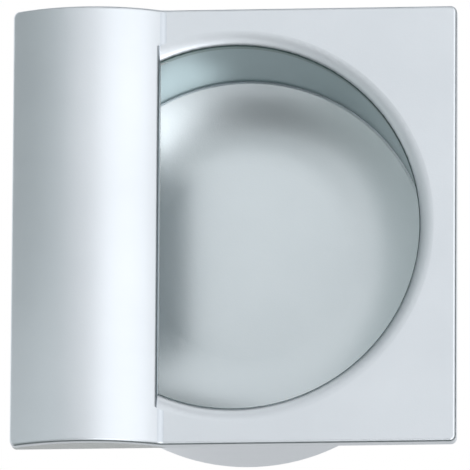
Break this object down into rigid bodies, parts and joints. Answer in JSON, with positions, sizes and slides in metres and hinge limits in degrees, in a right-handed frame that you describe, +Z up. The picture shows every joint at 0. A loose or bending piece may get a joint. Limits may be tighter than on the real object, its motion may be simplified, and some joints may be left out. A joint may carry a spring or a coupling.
{
  "type": "flush pull",
  "caption": "Square flush pull for a sliding door: flat plate with a crowned grip bar along one side, bridging a round finger recess, and a collar behind that sits in a bored hole.",
  "frame": {"origin": "on the axis of the recess, in the plane of the plate's back, where the pull meets the door's face", "axes": "+Z up as on the door, +Y into the door along the recess axis, so the front faces -Y; +X to the right, away from the grip bar"},
  "size_m": [0.05, 0.0251, 0.05],
  "materials": {
    "satin_casting": "satin chrome plate on a zinc casting, finely blasted",
    "satin_sheet": "satin, fine turned and blasted steel"
  },
  "bodies": {
    "root": {"face_plate": "satin_casting", "recess_cup": "satin_sheet"}
  },
  "joints": []
}
